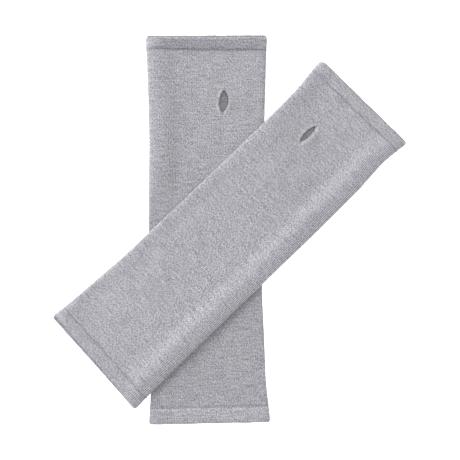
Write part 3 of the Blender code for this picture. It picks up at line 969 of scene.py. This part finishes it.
yarn_loops = loop_tree()
seam_yarn = yarn("heathered_wool_yarn", tone=0.97)
seam_sizes = loop_sizes(reach=2.9, rise=0.30, sink=0.75, yarn_radius=0.46, uneven=0.22)
for (name, end), band in bands.items():
    band_edge, tube_edge = seam_edges[name][end]
    places = (band_edge + tube_edge) / 2.0
    places = (places + np.roll(places, -1, axis=0)) / 2.0
    round_tube = unit(np.roll(places, -1, axis=0) - np.roll(places, 1, axis=0))
    run = unit(tube_edge - band_edge) * (1.0 if end == "hand" else -1.0)
    out = unit(np.cross(round_tube, run))
    places[:, 2] = np.maximum(places[:, 2], SEAM_CLEARANCE * MM)
    seam = sewn(f"{name}_{end}_linked_seam", yarn_loops, places, out, run, seam_yarn, seam_sizes)
    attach(seam, "root")

# --- The thumb slits' edges -------------------------------
# Both lips of a slit end in a row of short edge stitches, whose yarn is made far lighter than the wool as a
# painted highlight along the raised lips, and a few tight stitches across each end keep the slit from running
# further.

EDGE_STITCH = 1.1    # spacing of the edge stitches
EDGE_SET_BACK = 1.4  # from a lip's edge to the middle of its stitches
EDGE_TILT = 0.25     # how far the edge stitches tip over the lip
TACK_STITCHES = 4    # tight stitches across each end of a slit
TACK_STEP = 0.55     # spacing of those
TACK_START = -1.2    # where the first one is, in spacings inwards from the slit's end
TACK_HEIGHT = 0.1    # height of their middle above the cloth

# The edge yarn's far lighter tone is a painted highlight.
highlight_edge_yarn = yarn("heathered_wool_edge_yarn", tone=1.58, blue=0.94)
edge_sizes = loop_sizes(reach=2.9, rise=0.20, sink=0.42, yarn_radius=0.42, uneven=0.25)
tack_sizes = loop_sizes(reach=2.6, rise=0.25, sink=0.35, yarn_radius=0.34, uneven=0.12)
up = np.array([0.0, 0.0, 1.0])
for warmer in (under, over):
    left_lip, right_lip = slit_lips[warmer.name]
    places, out, run = [], [], []
    turn = math.radians(warmer.turn)
    to_right = np.array([math.cos(turn), math.sin(turn), 0.0])
    for lip, away in ((left_lip, -to_right), (right_lip, to_right)):
        steps = np.linalg.norm(np.diff(lip, axis=0), axis=1)
        run_length = np.concatenate([[0.0], np.cumsum(steps)])
        count = round(run_length[-1] / (EDGE_STITCH * MM))
        for stop in (np.arange(count) + 0.5) / count * run_length[-1]:
            spot = np.array([np.interp(stop, run_length, lip[:, axis]) for axis in range(3)])
            places.append(spot + EDGE_SET_BACK * MM * away)
            out.append(unit(up - EDGE_TILT * away))
            run.append(unit(away + EDGE_TILT * up))
    edging = sewn(warmer.name + "_slit_edging", yarn_loops, places, out, run, highlight_edge_yarn, edge_sizes)
    down_slit = unit(left_lip[-1] - left_lip[0])
    places, out, run = [], [], []
    for end, inwards in ((left_lip[0], down_slit), (left_lip[-1], -down_slit)):
        for k in range(TACK_STITCHES):
            spot = end + inwards * (k + TACK_START) * TACK_STEP * MM
            places.append(spot + TACK_HEIGHT * MM * up)
            out.append(up)
            run.append(to_right)
    tack = sewn(warmer.name + "_slit_tacks", yarn_loops, places, out, run, seam_yarn, tack_sizes)
    for piece in (edging, tack):
        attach(piece, "root")

# Each warmer's length, in metres; nothing uses it. A band is one wall as thick as its two cloths.
for warmer in (under, over):
    length = warmer.rows[-1].along * MM

# --- The studio -------------------------------------------
# A white table top, one large soft light from the upper left and even light all round, with the camera
# straight above.

TABLE_SIZE, TABLE_TOP = 6.0, -0.0003  # metres; the top is just below the pair's underside
TABLE_GLOW = 1.1  # keeps the table white round the pair
table = bpy.data.materials.new("white_table")
table.use_nodes = True
table_shader = table.node_tree.nodes["Principled BSDF"]
table_shader.inputs["Base Color"].default_value = (0.93, 0.93, 0.93, 1.0)
table_shader.inputs["Roughness"].default_value = 0.8
table_shader.inputs["Specular IOR Level"].default_value = 0.1
table_shader.inputs["Emission Color"].default_value = (1.0, 1.0, 1.0, 1.0)
table_shader.inputs["Emission Strength"].default_value = TABLE_GLOW
bpy.ops.mesh.primitive_plane_add(size=TABLE_SIZE, location=(0.0, 0.0, TABLE_TOP))
floor = bpy.context.active_object
floor.name = "table"
floor.data.materials.append(table)

KEY_PLACE = (-1.30, 1.40, 0.95)  # metres
KEY_SIZE, KEY_POWER = 2.1, 44.0  # metres across, and watts
key = bpy.data.lights.new("key_light", "AREA")
key.shape = "DISK"
key.size = KEY_SIZE
key.energy = KEY_POWER
key_light = put_in("key_light", key)
key_light.location = KEY_PLACE
key_light.rotation_mode = "QUATERNION"
key_light.rotation_quaternion = (-Vector(KEY_PLACE)).to_track_quat("-Z", "Y")

EVEN_LIGHT = 0.70  # strength of the light from all round
world = bpy.data.worlds.new("studio")
world.use_nodes = True
background = world.node_tree.nodes["Background"]
background.inputs["Color"].default_value = (1.0, 1.0, 1.0, 1.0)
background.inputs["Strength"].default_value = EVEN_LIGHT
scene = bpy.context.scene
scene.world = world
scene.view_settings.view_transform = "Standard"

CAMERA_PLACE = (0.0001, -0.0002, 2.2)  # metres, the last above the table
VIEW_WIDTH = 0.4048  # metres of the table that the view takes in
camera = put_in("camera", bpy.data.cameras.new("camera"))
camera.location = CAMERA_PLACE
camera.data.angle = 2.0 * math.atan(VIEW_WIDTH / 2.0 / CAMERA_PLACE[2])
scene.camera = camera
